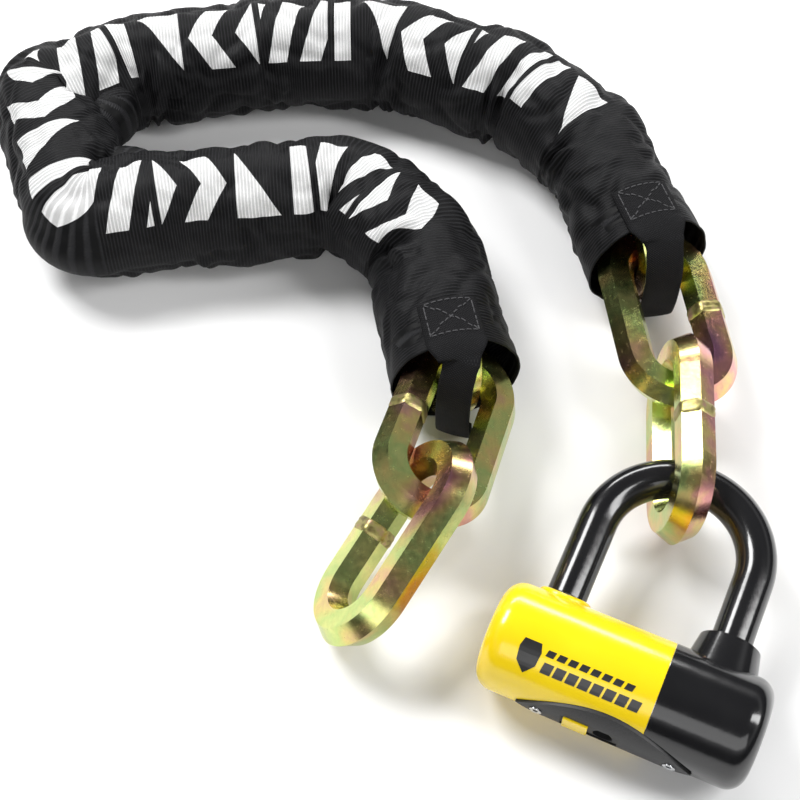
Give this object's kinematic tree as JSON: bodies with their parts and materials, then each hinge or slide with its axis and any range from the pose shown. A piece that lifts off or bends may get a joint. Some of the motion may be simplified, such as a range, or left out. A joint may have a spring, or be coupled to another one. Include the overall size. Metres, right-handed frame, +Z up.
{
  "type": "chain lock",
  "caption": "Sleeved hex-link security chain with end links left bare, one held in the removable shackle of a jacketed padlock.",
  "frame": {"origin": "centre of the footprint box on the plane the lock lies on", "axes": "+Z up from the plane; the chain is laid in an open hook, +X towards the side of the padlock, +Y away from the padlock towards the bend"},
  "size_m": [0.3545, 0.4087, 0.0596],
  "materials": {
    "link_plating": "yellow zinc plated hex steel, faint scratches",
    "sleeve_cloth": "ribbed woven nylon with a white block print",
    "strap_webbing": "woven webbing, box stitched",
    "shackle_steel": "hardened, fine ground",
    "black_vinyl": "glossy dipped vinyl",
    "yellow_vinyl": "glossy dipped vinyl",
    "body_steel": "turned steel",
    "trim_plastic": "fine matt grain",
    "screw_steel": "zinc plated",
    "works_brass": "machined",
    "works_steel": "hardened, oiled"
  },
  "bodies": {
    "link_01": {"chain_link_01": "link_plating"},
    "link_02": {"chain_link_02": "link_plating"},
    "link_03": {"chain_link_03": "link_plating", "sleeve_segment_03": "sleeve_cloth", "strap_lock_end": "strap_webbing"},
    "link_04": {"chain_link_04": "link_plating", "sleeve_segment_04": "sleeve_cloth"},
    "link_05": {"chain_link_05": "link_plating", "sleeve_segment_05": "sleeve_cloth"},
    "link_06": {"chain_link_06": "link_plating", "sleeve_segment_06": "sleeve_cloth"},
    "link_07": {"chain_link_07": "link_plating", "sleeve_segment_07": "sleeve_cloth"},
    "link_08": {"chain_link_08": "link_plating", "sleeve_segment_08": "sleeve_cloth"},
    "link_09": {"chain_link_09": "link_plating", "sleeve_segment_09": "sleeve_cloth"},
    "link_10": {"chain_link_10": "link_plating", "sleeve_segment_10": "sleeve_cloth"},
    "link_11": {"chain_link_11": "link_plating", "sleeve_segment_11": "sleeve_cloth"},
    "link_12": {"chain_link_12": "link_plating", "sleeve_segment_12": "sleeve_cloth"},
    "link_13": {"chain_link_13": "link_plating", "sleeve_segment_13": "sleeve_cloth", "strap_free_end": "strap_webbing"},
    "link_14": {"chain_link_14": "link_plating"},
    "link_15": {"chain_link_15": "link_plating"},
    "shackle": {"shackle_bar": "shackle_steel", "shackle_coating": "black_vinyl"},
    "lock_body": {"lock_body": "body_steel", "yellow_jacket": "yellow_vinyl", "black_jacket": "black_vinyl", "keyway_trim": "trim_plastic", "trim_screws": "screw_steel", "cylinder_housing": "works_brass", "drill_plate": "works_steel", "retaining_clip": "works_steel"},
    "key_plug": {"key_plug": "works_brass", "detainer_discs": "works_brass", "disc_spacers": "works_steel", "sidebar": "works_steel", "drive_cam": "works_steel"},
    "deadbolt_left": {"deadbolt_left": "works_steel"},
    "deadbolt_right": {"deadbolt_right": "works_steel"},
    "dust_cover": {"dust_cover": "yellow_vinyl"}
  },
  "joints": [
    {"name": "link_01_to_link_02", "type": "hinge", "parent": "link_02", "child": "link_01", "pos_m": [0.14752, -0.01478, 0.0282], "axis": [-0.173, 0.0151, -0.9848], "range_deg": [-60, 10]},
    {"name": "link_02_to_link_03", "type": "hinge", "parent": "link_03", "child": "link_02", "pos_m": [0.14186, 0.03133, 0.0282], "axis": [0.0334, 0.0102, 0.9994], "range_deg": [-8, 75], "deforming": ["strap_lock_end"]},
    {"name": "link_03_to_link_04", "type": "hinge", "parent": "link_04", "child": "link_03", "pos_m": [0.11825, 0.10854, 0.0282], "axis": [-0.0334, -0.0102, -0.9994], "range_deg": [-90, 5]},
    {"name": "link_04_to_link_05", "type": "hinge", "parent": "link_05", "child": "link_04", "pos_m": [0.08901, 0.14465, 0.0282], "axis": [0, 0, 1], "range_deg": [-5, 95]},
    {"name": "link_05_to_link_06", "type": "hinge", "parent": "link_06", "child": "link_05", "pos_m": [0.01469, 0.1762, 0.0282], "axis": [0, 0, -1], "range_deg": [-90, 5]},
    {"name": "link_06_to_link_07", "type": "hinge", "parent": "link_07", "child": "link_06", "pos_m": [-0.03176, 0.17539, 0.0282], "axis": [0, 0, 1], "range_deg": [-5, 75]},
    {"name": "link_07_to_link_08", "type": "hinge", "parent": "link_08", "child": "link_07", "pos_m": [-0.11151, 0.16275, 0.0282], "axis": [0, 0, -1], "range_deg": [-90, 10]},
    {"name": "link_08_to_link_09", "type": "hinge", "parent": "link_08", "child": "link_09", "pos_m": [-0.15133, 0.13883, 0.0282], "axis": [0, 0, -1], "range_deg": [-5, 150]},
    {"name": "link_09_to_link_10", "type": "hinge", "parent": "link_09", "child": "link_10", "pos_m": [-0.1224, 0.06345, 0.0282], "axis": [0, 0, 1], "range_deg": [-150, 5]},
    {"name": "link_10_to_link_11", "type": "hinge", "parent": "link_10", "child": "link_11", "pos_m": [-0.07679, 0.07231, 0.0282], "axis": [0, 0, -1], "range_deg": [-25, 60]},
    {"name": "link_11_to_link_12", "type": "hinge", "parent": "link_11", "child": "link_12", "pos_m": [0.00364, 0.07935, 0.0282], "axis": [0, 0, 1], "range_deg": [-20, 10]},
    {"name": "link_12_to_link_13", "type": "hinge", "parent": "link_12", "child": "link_13", "pos_m": [0.03533, 0.04537, 0.0282], "axis": [-0.1705, -0.0331, -0.9848], "range_deg": [-10, 40]},
    {"name": "link_13_to_link_14", "type": "hinge", "parent": "link_13", "child": "link_14", "pos_m": [0.05073, -0.03389, 0.0282], "axis": [0.1705, 0.0331, 0.9848], "range_deg": [-12, 15], "deforming": ["strap_free_end"]},
    {"name": "link_14_to_link_15", "type": "hinge", "parent": "link_14", "child": "link_15", "pos_m": [0.0329, -0.09222, 0.03677], "axis": [-0.8714, 0.3209, 0.371], "range_deg": [0, 25]},
    {"name": "lock_swing", "type": "hinge", "parent": "link_01", "child": "shackle", "pos_m": [0.14048, -0.09522, 0.0282], "axis": [0, 0, 1], "range_deg": [-20, 40]},
    {"name": "lock_body_pull_off", "type": "slide", "parent": "shackle", "child": "lock_body", "axis": [-0.4134, -0.9072, -0.0777], "range_m": [0, 0.03]},
    {"name": "key_turn", "type": "hinge", "parent": "lock_body", "child": "key_plug", "pos_m": [0.10735, -0.1729, 0.02162], "axis": [0.4134, 0.9072, 0.0777], "range_deg": [0, 90]},
    {"name": "deadbolt_left_throw", "type": "slide", "parent": "lock_body", "child": "deadbolt_left", "axis": [-0.91, 0.4147, 0], "range_m": [0, 0.0052]},
    {"name": "deadbolt_right_throw", "type": "slide", "parent": "lock_body", "child": "deadbolt_right", "axis": [0.91, -0.4147, 0], "range_m": [0, 0.0052]},
    {"name": "dust_cover_slide", "type": "slide", "parent": "lock_body", "child": "dust_cover", "axis": [0.91, -0.4147, 0], "range_m": [0, 0.011]}
  ],
  "couplings": [
    {"joint": "deadbolt_left_throw", "follows": "key_turn", "m_per_rad": 0.0033101},
    {"joint": "deadbolt_right_throw", "follows": "key_turn", "m_per_rad": 0.0033101}
  ]
}
